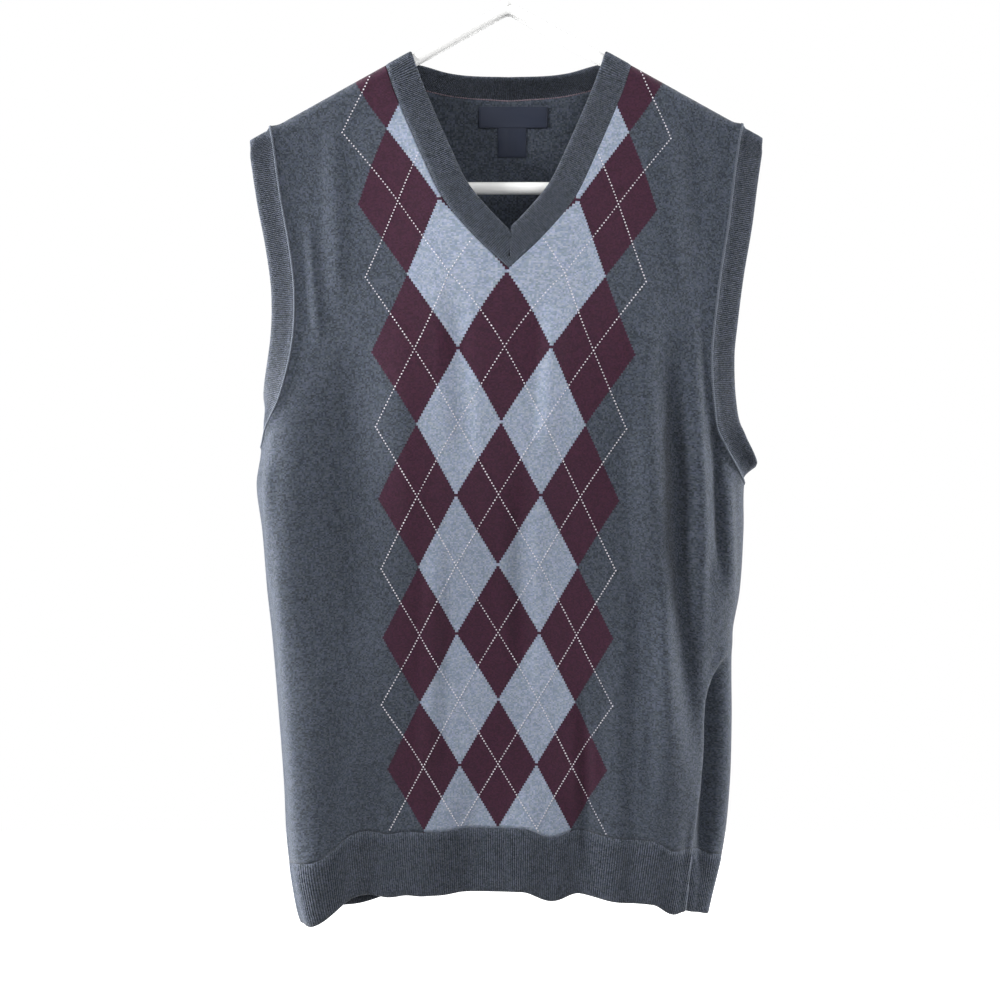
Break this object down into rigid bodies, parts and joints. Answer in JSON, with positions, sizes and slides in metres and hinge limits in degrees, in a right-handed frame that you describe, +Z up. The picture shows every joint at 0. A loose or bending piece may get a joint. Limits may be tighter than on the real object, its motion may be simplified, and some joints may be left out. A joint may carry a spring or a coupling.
{
  "type": "knitted sweater vest on a hanger",
  "caption": "Sleeveless V-neck knitted sweater vest with an argyle front and ribbed bands, hanging on a white tubular clothes hanger.",
  "frame": {"origin": "inside top of the hanger's hook, where a rail bears", "axes": "+Z up, -Y the vest's front, +X the wearer's left"},
  "size_m": [0.4122, 0.1141, 0.8206],
  "materials": {
    "argyle_knit": "fine plain knit in charcoal heather, with burgundy and blue-grey diamonds and a dotted white overcheck",
    "plain_knit": "fine plain knit in charcoal heather",
    "ribbed_knit": "one by one rib knit in charcoal heather",
    "label_satin": "navy woven satin label, bare",
    "hanger_plastic": "white moulded plastic, smooth and glossy"
  },
  "bodies": {
    "root": {"front_panel": "argyle_knit", "back_panel": "plain_knit", "front_hem_rib": "ribbed_knit", "back_hem_rib": "ribbed_knit", "neckband": "ribbed_knit", "armband_right": "ribbed_knit", "armband_left": "ribbed_knit", "neck_label": "label_satin", "size_label": "label_satin", "hanger_arm_right": "hanger_plastic", "hanger_arm_left": "hanger_plastic", "hanger_bar": "hanger_plastic", "hanger_hook": "hanger_plastic"}
  },
  "joints": []
}
